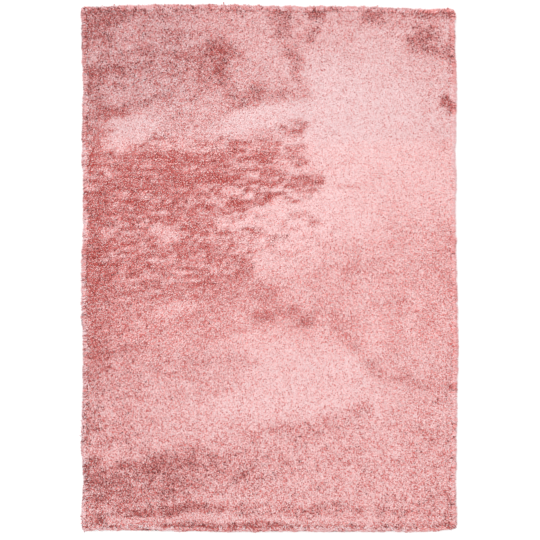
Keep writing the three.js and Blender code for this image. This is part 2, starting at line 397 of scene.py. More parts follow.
    (-0.13, -0.08, 0.1, 0.03, -12, 0.6, 0.7, 0.7),
    (-0.36, -0.08, 0.14, 0.015, 0, 0.68, 0.7, 0.6),
    (-0.51, -0.185, 0.04, 0.02, 0, 0.7, 0.7, 0.6),
    (-0.33, -0.14, 0.07, 0.02, 12, 0.24),
    (-0.58, -0.17, 0.08, 0.06, 0, 0.64, 0.75, 0.7),
    (-0.5, -0.24, 0.1, 0.03, 20, 0.58, 0.6, 0.7),
    (-0.46, -0.262, 0.04, 0.018, 0, 0.66),
    (-0.59, -0.34, 0.05, 0.1, 0, 0.76, 0.75, 0.7),
    (-0.61, -0.26, 0.02, 0.06, 0, 0.85, 0.7, 0.6),
    (-0.3, -0.25, 0.13, 0.025, 0, 0.34, 0.7, 0.7),
    (-0.14, -0.315, 0.1, 0.024, 0, 0.44, 0.8, 0.7),
    (-0.36, -0.3, 0.14, 0.014, 3, 0.44, 0.6, 0.7),
    # centre
    (0.02, 0.02, 0.08, 0.04, -10, 0.12, 0.8, 0.7),
    (-0.02, -0.08, 0.03, 0.03, 30, 0.66),
    (-0.11, -0.17, 0.035, 0.03, 0, 0.24),
    (0.03, -0.125, 0.05, 0.012, -10, 0.55, 0.7, 0.6),
    (-0.03, -0.16, 0.04, 0.03, -12, 0.66),
    (0.1, -0.13, 0.05, 0.025, 0, 0.3, 0.7, 0.6),
    (0.07, -0.15, 0.03, 0.014, -30, 0.66, 0.7, 0.6),
    (0.115, -0.178, 0.022, 0.02, -10, 0.74, 0.85, 0.6),
    (0.19, -0.14, 0.05, 0.04, -40, 0.44, 0.75, 0.7),
    (0.225, -0.185, 0.018, 0.035, 20, 0.54, 0.75, 0.6),
    (0.015, -0.115, 0.1, 0.013, -34, 0.54, 0.6, 0.6),
    (0.28, 0.0, 0.02, 0.06, 0, 0.48, 0.6, 0.8),
    (0.18, 0.0, 0.09, 0.016, 0, 0.4, 0.6, 0.8),
    (0.33, -0.1, 0.035, 0.07, 0, 0.2, 0.6, 0.8),
    (0.41, -0.16, 0.05, 0.07, 0, 0.44, 0.6, 0.8),
    (0.35, -0.23, 0.045, 0.05, -20, 0.1, 0.7, 0.7),
    (0.27, -0.25, 0.014, 0.06, 40, 0.54, 0.8, 0.7),
    (0.35, -0.335, 0.014, 0.07, 58, 0.6),
    (0.47, -0.378, 0.012, 0.1, 78, 0.5, 0.75, 0.6),
    (0.335, -0.45, 0.03, 0.02, 0, 0.14),
    (0.612, -0.395, 0.022, 0.016, 0, 0.8),
    (0.6, 0.0, 0.04, 0.14, 0, 0.44, 0.6, 0.7),
    # foot half
    (-0.05, -0.46, 0.16, 0.045, 0, 0.08),
    (0.49, -0.5, 0.08, 0.03, 0, 0.22, 0.6, 0.8),
    (0.27, -0.525, 0.05, 0.025, 0, 0.2, 0.6, 0.8),
    (0.38, -0.52, 0.05, 0.04, 0, 0.2, 0.6, 0.8),
    (0.41, -0.59, 0.05, 0.03, 0, 0.24, 0.6, 0.8),
    (0.38, -0.43, 0.05, 0.04, -40, 0.16, 0.8, 0.7),
    (0.1, -0.53, 0.16, 0.024, 7, 0.48, 0.85, 0.6),
    (0.29, -0.475, 0.035, 0.025, 20, 0.54),
    (0.01, -0.565, 0.03, 0.02, 0, 0.26),
    (0.52, -0.55, 0.08, 0.02, -10, 0.44, 0.6, 0.7),
    (-0.56, -0.5, 0.07, 0.12, 0, 0.44, 0.6, 0.8),
    (-0.34, -0.69, 0.27, 0.078, 6, 0.54, 0.92, 0.3),
    (-0.38, -0.69, 0.11, 0.06, 6, 0.6, 0.7, 0.6),
    (-0.51, -0.625, 0.1, 0.025, 14, 0.32),
    (-0.45, -0.71, 0.04, 0.04, 0, 0.52, 0.7, 0.7),
    (-0.24, -0.66, 0.03, 0.03, 0, 0.48, 0.7, 0.7),
    (-0.59, -0.645, 0.03, 0.022, 0, 0.72),
    (-0.58, -0.415, 0.02, 0.016, 0, 0.36),
    (-0.14, -0.725, 0.05, 0.018, 0, 0.34, 0.7, 0.6),
    (-0.05, -0.74, 0.05, 0.02, 0, 0.36, 0.7, 0.7),
    (-0.2, -0.7, 0.05, 0.03, 0, 0.48, 0.7, 0.7),
    (-0.58, -0.72, 0.06, 0.06, 0, 0.7),
    (-0.48, -0.762, 0.14, 0.02, 0, 0.48, 0.6, 0.7),
    (-0.35, -0.665, 0.06, 0.018, 0, 0.75, 0.6, 0.6),
    (-0.07, -0.82, 0.035, 0.018, 0, 0.3),
    (0.59, -0.765, 0.03, 0.022, 0, 0.56),
    (-0.57, -0.812, 0.03, 0.02, 0, 0.48, 0.7, 0.6),
    (-0.01, -0.66, 0.1, 0.04, 0, 0.54, 0.6, 0.8),
    (-0.16, -0.755, 0.14, 0.01, 0, 0.36, 0.7, 0.6),
    (0.14, -0.7, 0.12, 0.03, 0, 0.28, 0.6, 0.8),
    # bands at the foot
    (-0.34, -0.804, 0.2, 0.018, 0, 0.7, 0.9, 0.4),
    (0.43, -0.7, 0.05, 0.04, 0, 0.24, 0.6, 0.8),
    (0.3, -0.798, 0.34, 0.018, 0, 0.5),
    (0.02, -0.796, 0.14, 0.014, 0, 0.54, 0.7, 0.6),
    (0.0, -0.83, 0.56, 0.008, 0, 0.3, 0.7, 0.6),
    (-0.12, -0.862, 0.22, 0.015, 0, 0.72, 0.85, 0.5),
    (-0.195, -0.866, 0.05, 0.014, 0, 0.92, 0.85, 0.6),
    (-0.52, -0.866, 0.12, 0.014, 0, 0.7, 0.7, 0.6),
    (-0.6, -0.845, 0.04, 0.03, 0, 0.68, 0.7, 0.6),
    (0.14, -0.866, 0.14, 0.012, 0, 0.56),
    (0.42, -0.866, 0.16, 0.012, 0, 0.44),
    (0.58, -0.858, 0.06, 0.02, 0, 0.7, 0.85, 0.6),
    # along the edges
    (-0.1, 0.872, 0.56, 0.03, -0.4, 0.5, 0.55, 0.5),
    (0.4, 0.868, 0.2, 0.026, -0.4, 0.46, 0.6, 0.5),
    (-0.62, 0.0, 0.014, 0.86, 0, 0.5, 0.75, 0.4),
    (-0.622, 0.14, 0.014, 0.28, 0, 0.3, 0.8, 0.4),
    (-0.585, 0.62, 0.022, 0.24, 0, 0.66, 0.5, 0.6),
    (0.16, 0.846, 0.04, 0.022, -8, 0.86, 0.9, 0.6),
    (-0.605, 0.79, 0.028, 0.05, 0, 0.84, 0.75, 0.6),
    (0.197, 0.862, 0.02, 0.014, 0, 0.84),
]

nap = {
    "ground": 0.36,  # how far the pile stands where nothing has brushed it
    "usual": (0.8, 0.6),  # how strongly a patch shows, and how soft its edge is
    "roundness": 2.4,  # 2 makes a patch an ellipse, more makes it squarer
    # how far the patches' outlines wander across, and along
    "wander": (
        [(0.030, 0.13, 0.07, 1), (0.016, 0.045, 0.025, 2)],
        [(0.009, 0.16, 0.08, 3), (0.009, 0.05, 0.025, 4)],
    ),
    "rowsWander": 0.35,  # how much of the wander along the rug the rows' marks share
    "rowsAt": (-0.33, 0.20),  # where it was combed in rows
    "rowsReach": (0.54, 0.335),
    "rowsFade": (1.0, 0.7),
    "wispsAt": (0.04, 0.26),  # and where the rows break up
    "wispsReach": (0.27, 0.32),
    "wispsFade": (1.0, 0.5),
    # small blots everywhere, and in the rows long streaks and wisps: each has coarse and fine marks
    "blots": [(1, 0.035, 0.018, 7), (0.8, 0.014, 0.009, 8)],
    "blotted": 0.28,  # how strongly they show
    "blotsInRows": 0.6,  # how much weaker they are in the rows
    "streaks": [(1, 0.060, 0.009, 5), (0.8, 0.026, 0.0055, 6)],
    "streaked": 0.48,
    "wisps": [(1, 0.045, 0.008, 11), (0.8, 0.020, 0.0055, 12)],
    "wisped": 0.34,
    "wispsRise": (0.15, 0.6),
    "wispsSink": 0.08,  # how far the pile between them sinks
    "cracks": ((0.050, 0.015, 9), (0.028, 0.010, 10)),  # thin lines of standing pile in the rows
    "crackWidth": 0.20,
    "cracked": 0.40,
    "cracksSink": 0.3,  # of their strength, how far it sinks between these
    "cracksRise": (0.10, 0.30),  # there are none where the pile is flatter than this
    "lively": (0.03, 1.15, 0.75),  # marks show least in flat pile, more as it stands, less when upright
    "contrast": (0.15, 0.85),
    "crispness": 0.3,  # of every patch's edge, and how much more in the rows and the wisps
    "rowsCrisper": 0.15,
    "wispsCrisper": 0.4,
}


def warpAt(x, y):
    # how far a patch's outline wanders from where it was brushed
    return np.stack([layered(x, y, layers) for layers in nap["wander"]])


def brushedAt(wx, wy):
    # the patches' outlines wander, but their middles stay where they were brushed
    middles = np.array([stroke[:2] for stroke in napStrokes]).T
    stand = np.full(np.shape(wx), nap["ground"])
    power = nap["roundness"]
    for stroke, (mx, my) in zip(napStrokes, (middles + warpAt(*middles)).T):
        halfX, halfY, turn, value, weight, soft = (*stroke[2:], *nap["usual"])[:6]
        cosine, sine = math.cos(math.radians(turn)), math.sin(math.radians(turn))
        u = ((wx - mx) * cosine + (wy - my) * sine) / halfX
        v = ((wy - my) * cosine - (wx - mx) * sine) / halfY
        away = (np.abs(u) ** power + np.abs(v) ** power) ** (1 / power)
        stand = blend(stand, value, weight * (1 - smoothStep(1 - soft, 1 + soft, away)))
    return stand


def ovalAt(x, y, middle, reach):
    # 0 in the middle of an oval, and 1 at its edge
    return np.hypot((x - middle[0]) / reach[0], (y - middle[1]) / reach[1])


def cracksAt(x, y):
    # thin wandering lines, where random swells pass through nothing
    swells = [softNoise(x, y, *swell) for swell in nap["cracks"]]
    return smoothStep(0, 1, 1 - np.minimum(*np.abs(swells)) / nap["crackWidth"])


def standAt(x, y):
    # how far the pile stands: 0 combed flat, 1 upright
    wx, wy = np.stack([x, y]) + warpAt(x, y)
    sy = blend(y, wy, nap["rowsWander"])
    stand = brushedAt(wx, wy)
    rows = smoothStep(*nap["rowsFade"], ovalAt(wx, wy, nap["rowsAt"], nap["rowsReach"]))
    wisps = smoothStep(*nap["wispsFade"], ovalAt(wx, wy, nap["wispsAt"], nap["wispsReach"]))
    blots = nap["blotted"] * layered(x, y, nap["blots"]) * (1 - nap["blotsInRows"] * rows)
    streaks = nap["streaked"] * layered(wx, sy, nap["streaks"]) * rows
    cracks = nap["cracked"] * (cracksAt(wx, sy) - nap["cracksSink"]) * rows
    cracks = cracks * smoothStep(*nap["cracksRise"], stand)
    raised = nap["wisped"] * smoothStep(*nap["wispsRise"], layered(wx, sy, nap["wisps"]))
    least, rise, fall = nap["lively"]
    lively = least + rise * stand * (1 - fall * stand)
    level = stand + lively * (blots + streaks) + cracks + (raised - nap["wispsSink"]) * wisps
    crisp = nap["crispness"] + nap["rowsCrisper"] * rows + nap["wispsCrisper"] * wisps
    return np.clip(blend(level, smoothStep(*nap["contrast"], level), crisp), 0, 1)


yarn = {
    "shades": [  # from the painted shade deep in standing pile to the painted sheen of combed pile
        (0.00, (0.120, 0.018, 0.020)),
        (0.15, (0.700, 0.172, 0.158)),
        (0.35, (0.885, 0.335, 0.314)),
        (0.62, (0.930, 0.485, 0.476)),
        (0.85, (0.940, 0.690, 0.698)),
        (1.00, (0.945, 0.820, 0.832)),
    ],
    # the root end of each tuft is painted darker, as shade deep in the pile
    "rootShadeToTip": [(0.0, (0.60, 0.24, 0.22)), (0.6, (0.97, 0.84, 0.83)), (1.0, (1.0, 1.0, 1.0))],
    "hues": 4,  # strips of the yarn's own map, from warm to grey
    "warm": (1.00, 0.94, 0.93, 1),
    "grey": (0.81, 0.95, 0.99, 1),
    "mapMargin": 0.12,  # of a strip, left free above and below
}


def yarnMaterial():
    shader = Shader("pileYarn", Roughness=0.7, Specular_IOR_Level=0.25, Sheen_Weight=0.0)
    across, up = shader.acrossAndUp(shader.add("ShaderNodeUVMap", {"uv_map": "OFBake"}))
    strip = up * yarn["hues"]
    hue = strip.sum("FLOOR") / (yarn["hues"] - 1)
    # across the map: painted shade for standing pile up to painted sheen for combed pile
    shade = shader.add("ShaderNodeValToRGB", {"stops": yarn["shades"]}, i0=across)
    # the root ends are painted darker, as shade deep in the pile
    depth = shader.add("ShaderNodeValToRGB", {"stops": yarn["rootShadeToTip"]}, i0=strip.sum("FRACT"))
    tint = shader.mix(hue, yarn["warm"], yarn["grey"])
    colour = shader.mix(1.0, shader.mix(1.0, shade, depth, "MULTIPLY"), tint, "MULTIPLY")
    return shader.finish(Base_Color=colour)


yarnFinish = yarnMaterial()


def clumpsAt(x, y, sizeX, sizeY, seed):
    # the nearest of the clumps' scattered middles, how clear of the next it is, and its own random numbers
    cells = 512
    middle = 200  # the rug's middle, in cells
    random = np.random.default_rng(seed).random((cells, cells, 5))
    u = x / sizeX + middle
    v = y / sizeY + middle
    first = np.full(x.shape, np.inf)
    second = np.full(x.shape, np.inf)
    best = np.zeros((*x.shape, 5))
    for di in (-1, 0, 1):
        for dj in (-1, 0, 1):
            i = np.floor(u).astype(int) + di
            j = np.floor(v).astype(int) + dj
            centre = random[i % cells, j % cells]
            centre[:, 0] += i
            centre[:, 1] += j
            away = np.hypot(centre[:, 0] - u, centre[:, 1] - v)
            nearer = away < first
            second = np.where(nearer, first, np.minimum(second, away))
            first = np.where(nearer, away, first)
            best = np.where(nearer[:, None], centre, best)
    return (best[:, 0] - middle) * sizeX, (best[:, 1] - middle) * sizeY, second - first, best[:, 2:]


def unit(vectors):
    return vectors / np.maximum(np.linalg.norm(vectors, axis=-1, keepdims=True), tiny)


def newPiece(name, mesh, material):
    mesh.shade_smooth()
    mesh.materials.append(material)
    piece = bpy.data.objects.new(name, mesh)
    bpy.context.scene.collection.objects.link(piece)
    return piece


def facing(corners):
    # which way each triangle faces, from its three corners
    return unit(np.cross(corners[..., 1, :] - corners[..., 0, :], corners[..., 2, :] - corners[..., 0, :]))


def pieceFromArrays(name, points, triangles, mapPlaces, normals, material):
    # the normals are one for each corner of each triangle
    mesh = bpy.data.meshes.new(name)
    mesh.vertices.add(len(points))
    mesh.vertices.foreach_set("co", points.astype(np.float32).ravel())
    mesh.loops.add(triangles.size)
    mesh.loops.foreach_set("vertex_index", triangles.astype(np.int32).ravel())
    mesh.polygons.add(len(triangles))
    mesh.polygons.foreach_set("loop_start", np.arange(0, triangles.size, 3, dtype=np.int32))
    layer = mesh.uv_layers.new(name="OFBake")
    layer.data.foreach_set("uv", mapPlaces[triangles.ravel()].astype(np.float32).ravel())
    mesh.update(calc_edges=True)
    piece = newPiece(name, mesh, material)
    mesh.normals_split_custom_set(normals.reshape(-1, 3))
    return piece


def pieceFromShape(name, shape, material):
    mesh = bpy.data.meshes.new(name)
    shape.to_mesh(mesh)
    shape.free()
    return newPiece(name, mesh, material)


tuft = {
    "mapSpread": 0.0016,  # how far a tuft's corners spread across the yarn's map
    "ringSpread": 0.04,  # and up it, round the root end
    "fluff": 0.55,  # how much its shading follows the pile's surface rather than its own faces
    "rimFluff": 0.45,  # how much less at the rim
    "rimTilt": 0.25,  # how far that surface is taken to lean out at the rim
    "turnedAway": -0.1,  # a face turned further than this from the surface keeps its own shading
}


def makeTufts(name, root, tip, thick, flat, turn, shade, hue, rootDepth, outward, fluff):
    # tufts of four faces: three corners round the root end, and a pointed tip
    line = unit(tip - root)
    side = unit(np.stack([-line[:, 1], line[:, 0], np.full(len(line), tiny)], 1))
    over = np.cross(line, side)
    radii = []
    for k in range(3):
        angle = turn + k * math.tau / 3
        radii.append(side * np.cos(angle)[:, None] + over * (flat * np.sin(angle))[:, None])
    radii = np.stack(radii, 1)
    ring = root[:, None] + radii * thick[:, None, None]
    points = np.concatenate([ring, tip[:, None]], 1)
    faces = np.array([(0, 1, 3), (1, 2, 3), (2, 0, 3), (0, 2, 1)])
    triangles = np.arange(len(points))[:, None, None] * 4 + faces
    # the yarn's map: across it the shade, up it the depth, whose root end is painted darker as shade, in
    # the strip of its hue
    across = shade[:, None] + np.array([-1, 0, 1, 0]) * tuft["mapSpread"]
    spread = np.array([1, -1, 1, 0]) * tuft["ringSpread"]
    depth = np.where([True, True, True, False], rootDepth[:, None], 1.0) + spread
    margin = yarn["mapMargin"]
    up = (hue[:, None] + margin + (1 - 2 * margin) * depth) / yarn["hues"]
    places = np.stack([across, up], -1).reshape(-1, 2)
    # faces turned to the pile's surface are shaded softly with it, and the others by themselves
    normals = np.concatenate([unit(radii), line[:, None] * 0], 1)
    normals = unit(blend(normals, outward[:, None], fluff[:, None, None]))[:, faces]
    own = facing(points[:, faces])
    away = np.einsum("ijk,ik->ij", own, outward) < tuft["turnedAway"]
    normals = np.where(away[:, :, None, None], own[:, :, None], normals)
    points = points.reshape(-1, 3)
    triangles = triangles.reshape(-1, 3)
    return pieceFromArrays(name, points, triangles, places, normals, yarnFinish)


pile = {
    "spacing": 3.3 * mm,
    "jitter": 0.48,  # of the spacing
    "clumps": (9 * mm, 6.5 * mm),  # the size of a clump of tufts, across and along
    "gather": 0.4,  # how far the tips of standing pile are drawn to the middle of their clump
    "edgeBand": 26 * mm,  # how far in from the rim the tufts begin to turn outwards
    "edgeUneven": [(0.35, 0.03, 0.02, 93)],  # of the band's width
    "rimStep": 2.8 * mm,  # the extra tufts round the rim, in rows
    "rimJitter": 0.01,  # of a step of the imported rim
    "rimRows": 4,
    "rimRow": 2 * mm,  # a row's width
    "rimClear": 1 * mm,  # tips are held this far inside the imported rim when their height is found
    "skirtRows": 2,  # more rows, which hang below the others, down to the floor
    "skirtDrop": 7 * mm,
    "ragged": 3.2 * mm,  # how unevenly the pile ends
    "raggedFrom": 0.25,  # of that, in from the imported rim
    "raggedSwells": [(1, 0.026, 0.026, 61), (0.8, 0.008, 0.008, 62)],
    "hangingTrimmed": 0.5,  # how much the tufts that hang are spared the foot's trimming
    # the share of tufts that are painted darkest, as shade in holes in the pile: most at the foot and the
    # head
    "shadowTufts": 0.21,
    "shadowTuftsOver": (
        0.05,
        (0.22, (-0.15, -0.45), (0.35, 0.25)),
        (0.85, everywhere, (-0.30, -0.50)),
        (0.6, everywhere, (0.45, 0.60)),
    ),
    "shadowTuftsStand": (0.25, 0.75),  # they show only in standing pile
    "rimFewer": 0.8,  # how many fewer of them at the rim, and how much less uneven the tips' heights
    "pieces": 5,
}


def ringAt(height):
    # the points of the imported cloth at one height, in order round the rug
    ring = np.array([v.co[:2] for v in cloth.verts if abs(v.co.z - height) < form["tolerance"]])
    ring = ring[np.hypot(*ring.T) > form["middleSize"]]
    return ring[np.argsort(np.arctan2(ring[:, 1], ring[:, 0]))]


def evenlyAlong(ring, step):
    # evenly spaced places along a closed ring, as numbers of its points
    loop = np.vstack([ring, ring[:1]])
    run = np.concatenate([[0], np.cumsum(np.hypot(*np.diff(loop, axis=0).T))])
    count = int(run[-1] / step)
    return np.interp(np.arange(count) * run[-1] / count, run, np.arange(len(run)))


def onRing(ring, place):
    loop = np.vstack([ring, ring[:1], ring[1:2]])
    return np.stack([np.interp(place, np.arange(len(loop)), loop[:, k]) for k in (0, 1)], -1)


def raggedness(x, y):
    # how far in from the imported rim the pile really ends
    return (pile["raggedFrom"] - layered(x, y, pile["raggedSwells"])) * pile["ragged"]


def tipPlaces(random):
    # where the tips lie: all over the pile, and closer together down its rounded rim
    step = pile["spacing"]
    x, y = np.meshgrid(np.arange(low.x, high.x, step), np.arange(low.y, high.y, step), indexing="ij")
    x = x.ravel() + random.uniform(-1, 1, x.size) * step * pile["jitter"]
    y = y.ravel() + random.uniform(-1, 1, y.size) * step * pile["jitter"]
    keep = np.min(insets(x, y), axis=0) > raggedness(x, y)
    tips = [np.stack([x, y], 1)[keep]]
    outer = ringAt(form["rimZ"])
    inner = ringAt(0)
    rows = [*range(pile["rimRows"]), *[1] * pile["skirtRows"]]
    for row in rows:
        place = evenlyAlong(outer, pile["rimStep"])
        place = place + random.uniform(-pile["rimJitter"], pile["rimJitter"], len(place))
        inset = (row + random.uniform(0, 1, len(place))) * pile["rimRow"]
        inset += raggedness(*onRing(outer, place).T)
        share = inset / form["cutInset"]
        tips.append(blend(onRing(outer, place), onRing(inner, place), share[:, None]))
    hanging = [np.full(len(row), number > pile["rimRows"]) for number, row in enumerate(tips)]
    return *np.concatenate(tips).T, np.concatenate(hanging)


def turnedOut(x, y, hanging):
    # how far out each tuft turns beside the rim, which way, and how far it is trimmed at the foot
    band = pile["edgeBand"] * layered(x, y, pile["edgeUneven"], 1)
    left, right, foot, head = (smoothStep(band, 0, inset) for inset in insets(x, y))
    out = np.maximum(np.abs(right - left), np.abs(head - foot))
    outward = np.stack([right - left, head - foot], 1)
    trimmed = foot * (1 - left) * (1 - right) * (1 - pile["hangingTrimmed"] * hanging)
    return out, outward, trimmed


combing = {
    "turn": -14,  # degrees from straight across, and the swells that turn it further
    "turns": [(40, 0.4, 0.3, 31), (22, 0.06, 0.05, 32)],
    "leftBy": (0.25, 0.05),  # left of here it is combed to the left
    "leftWanders": [(0.1, 0.2, 0.12, 33)],
    "leftAbove": (-0.55, -0.2),  # but not at the foot
    "rowsFrom": (-0.30, -0.20),  # the part of the rug that was combed in rows
    "rowsTo": (0.46, 0.38),
    "rowsBy": (0.2, 0.0),  # and left of here
    "astray": (1.3, 0.7),  # how far each tuft strays from its neighbours' way, and in the rows
    "clumpsStray": (0.5, 0.9),  # across and along
    "rimLoses": 0.7,  # how much of the combing is lost at the rim
    "trimmedLoses": 0.6,
    "outwards": 1.4,  # how strongly the rim's tufts turn outwards
    "trimmedIn": 0.7,  # how much less where the foot is trimmed
}


def rowsAcross(y):
    # 1 across the part of the rug that was combed in rows
    return smoothStep(*combing["rowsFrom"], y) * smoothStep(*combing["rowsTo"], y)


def combedWay(x, y, own, out, outward, trimmed, random):
    # away from the parting, and outwards beside the edges, but not where the foot is trimmed
    turn = np.radians(layered(x, y, combing["turns"], combing["turn"]))
    leftward = smoothStep(*combing["leftBy"], layered(x, y, combing["leftWanders"], x))
    leftward = leftward * smoothStep(*combing["leftAbove"], y)
    astray = blend(*combing["astray"], rowsAcross(y) * smoothStep(*combing["rowsBy"], x))
    strayX, strayY = combing["clumpsStray"]
    wayX = np.cos(turn) * (1 - 2 * leftward) + strayX * (own[:, 0] - 0.5)
    wayY = np.sin(turn) + strayY * (own[:, 1] - 0.5)
    way = np.stack([wayX, wayY]) + astray * random.uniform(-1, 1, (2, len(x)))
    lost = combing["rimLoses"] * out
    way *= np.stack([1 - lost * (1 - trimmed), (1 - lost) * (1 - combing["trimmedLoses"] * trimmed)])
    return unit(way.T + combing["outwards"] * outward * (1 - combing["trimmedIn"] * trimmed[:, None]))


colouring = {  # of the tufts; a pair marked so is for pile combed flat and for standing pile
    # 0 is the warmest hue and 3 the greyest: greyer at the head's left
    "greyness": (0.8, (0.9, (-0.15, -0.35), (0.42, 0.60))),
    "flatGreyer": 0.1,  # more where it is combed this flat
    "flat": (0.3, 0.05),
    "footWarmer": 0.5,  # and less towards the foot
    "foot": (-0.02, -0.30),
    "rimGreyness": (3, (-1.5, (0.45, 0.55), everywhere)),
    "rimFrom": (0.1, 0.7),  # how far out at the rim it takes over, but half as much where it is trimmed
    "trimmedKeeps": 0.5,
    "hueVaried": 0.3,
    "darkGreyer": 1.2,  # how much greyer the darker tufts of flat pile are
    "shade": (0.96, 0.225),  # pair: along the yarn's shades, painted sheen where combed flat and painted shade where it stands
    "clumpVaried": (0.02, 0.14),  # pair: from clump to clump
    "rough": (0.27, 0.73),  # pair: from tuft to tuft
    "rimCalm": 0.7,
    # how much rougher the left side and the foot are
    "sideRough": (1, (0.35, (-0.48, -0.58), everywhere)),
    "footRough": (1.15, (0.35, everywhere, (0.10, -0.15)), (0.9, everywhere, (-0.35, -0.62))),
    "uprightRough": (1.5, 1.6),  # pair
    "lyingRough": (0.7, 1.2),  # pair
    "skew": 0.12,  # the dark tufts are fewer and darker than the pale ones
    "grain": [(0.25, 0.0075, 0.0055, 71)],
    # upright tufts in flat pile get painted shade, as if seen end on into the pile
    "uprightShade": 0.2,
    "clumpGapShade": 0.16,  # painted shade between clumps, which are this close there
    "gap": (0, 0.3),
    "shadowTuft": 0.12,  # the palest of the tufts painted as shade in holes, and the darkest of the others
    "darkest": 0.16,
    # painted shade at the rim, where the pile turns down over it
    "rimShade": 0.17,
    "turningPaler": 0.4,  # in standing pile, halfway out to the rim
    "shades": (0.02, 0.98),  # the darkest and palest of all
    # thin lines of painted shade along the foot, where the pile seems parted: how far in from its rim, how
    # they wander, how wide, how broken
    "partingIn": 4 * mm,
    "partingWanders": [(2 * mm, 0.1, 1, 92)],
    "partingWide": (2.5 * mm, 1 * mm),
    "partingSwells": [(1, 0.05, 1, 91)],
    "partingBroken": (0.1, 0.35),
    "partingShade": 0.5,
}


def partingShadeAt(x, y):
    # 1 along the thin lines of painted shade at the foot
    inset = insets(x, y)[2]
    line = np.abs(inset - colouring["partingIn"] - layered(x, y, colouring["partingWanders"]))
    broken = smoothStep(*colouring["partingBroken"], layered(x, y, colouring["partingSwells"]))
    return smoothStep(*colouring["partingWide"], line) * broken


def yarnShades(x, y, stand, out, trimmed, clear, own, shadowTufts, upright, random):
    # paler, with painted sheen, where it is combed flat and darker, with painted shade, where it stands;
    # livelier at the foot and the left; greyer at the head and the rim
    count = len(x)
    greyness = zoned(x, y, *colouring["greyness"])
    flatGreyer = colouring["flatGreyer"] * smoothStep(*colouring["flat"], stand)
    greyness += flatGreyer - colouring["footWarmer"] * smoothStep(*colouring["foot"], y) - rowsAcross(y)
    atRim = smoothStep(*colouring["rimFrom"], out) * (1 - colouring["trimmedKeeps"] * trimmed)
    greyness = blend(greyness, zoned(x, y, *colouring["rimGreyness"]), atRim)
    rough = blend(*colouring["rough"], stand) * (1 - colouring["rimCalm"] * out)
    rough = rough * zoned(x, y, *colouring["sideRough"]) * zoned(x, y, *colouring["footRough"])
    odd = random.normal(0, 1, count)
    uprightRough = blend(*colouring["uprightRough"], stand)
    lively = np.where(upright, uprightRough, blend(*colouring["lyingRough"], stand))
    # painted sheen where the pile is combed flat, painted shade where it stands
    shade = blend(*colouring["shade"], stand) + (own[:, 2] - 0.5) * blend(*colouring["clumpVaried"], stand)
    grain = layered(x, y, colouring["grain"])
    shade += (odd + grain - colouring["skew"] * (odd * odd - 1)) * rough * lively
    # painted shade on upright tufts in flat pile
    shade -= upright * (1 - stand) * random.uniform(0.0, colouring["uprightShade"], count)
    # painted shade in the gaps between clumps of standing pile
    shade -= colouring["clumpGapShade"] * stand * (1 - smoothStep(*colouring["gap"], clear))
    # tufts painted darkest stand for shade in holes in the pile
    shadowTuftShade = random.uniform(0, colouring["shadowTuft"], count)
    shade = np.where(shadowTufts, shadowTuftShade, np.maximum(shade, colouring["darkest"]))
    shade = np.clip(shade, *colouring["shades"])
    # painted shade at the rim, where the pile turns down over it
    shade = shade - colouring["rimShade"] * out * (1 - trimmed)
    shade += colouring["turningPaler"] * out * (1 - out) * stand
    # thin lines of painted shade along the foot
    shade = np.clip(shade - colouring["partingShade"] * partingShadeAt(x, y), colouring["shades"][0], 1)
    hue = greyness + random.normal(0, colouring["hueVaried"], count)
    hue = hue - colouring["darkGreyer"] * np.minimum(odd, 0) * (1 - stand)
    return shade, np.clip(np.round(hue), 0, yarn["hues"] - 1)


lay = {  # how a tuft lies; a pair marked so is for pile combed flat and for standing pile
    "reach": (5.5 * mm, 3.5 * mm),  # pair: from its tip back to its root
    "rimReach": 16 * mm,  # the same at the rim, where it leans outwards
    "trimmedReach": 9 * mm,  # and at the foot, which is trimmed straighter
    "unequal": (0.75, 1.25),  # the shortest and longest reach
    "clumpGap": (0.2 * mm, 3.2 * mm),  # pair: how much lower the tips are between clumps
    "gapWide": (0.0, 0.35),  # how clear of the next clump a tuft is, in a gap and out of it
    "uneven": (0.3 * mm, 2.5 * mm),  # pair: how uneven the tips are
    "lowestTip": (1.2 * mm, 4.2 * mm),  # above the floor, from tuft to tuft
    "hangingTip": (1 * mm, 4 * mm),
    "shadowTuftRise": 0.8 * mm,  # how far above the surface the tip of a tuft painted as shade in a hole stands
    "uprightStand": (0.2, 0.7),  # how far the pile stands where the first and the last tufts are upright
    "uprightLeast": 0.5,  # at least this share of them is
    "uprightRim": (0.2, 0.8),  # but fewer and fewer towards the rim
    "uprightLean": 0.6,  # how much of its reach an upright tuft leans
    "tall": 3.5 * mm,  # how much of it shows above the undercoat
    "rootBelow": (1.8 * mm, 5.5 * mm),  # pair: how far a lying root is below the surface
    "rootDroop": 0.1,  # how much of the way to its tip's height it is lifted
    "rootLowest": 3 * mm,
    "rootUp": (0.5, 0.3),  # pair: how far up the yarn's map its root end begins, so how much painted shade it gets
    "uprightRootUp": 0.12,
    "thick": 1.9 * mm,
    "varied": (0.8, 1.2),  # how thick and how tall tufts are, from tuft to tuft
    "lyingThick": (1.05, 1.1),  # pair
    "uprightThick": 1.05,
    "shadowTuftThick": 0.45,  # how much thicker the tufts are that are painted as shade in holes
    "hangingThick": 0.4,
    "lyingFlat": (0.35, 0.6),  # pair: how flat its section is, 1 being round
    "uprightFlat": 0.8,
    "twist": 0.2,  # how far a lying tuft's section turns at random
}


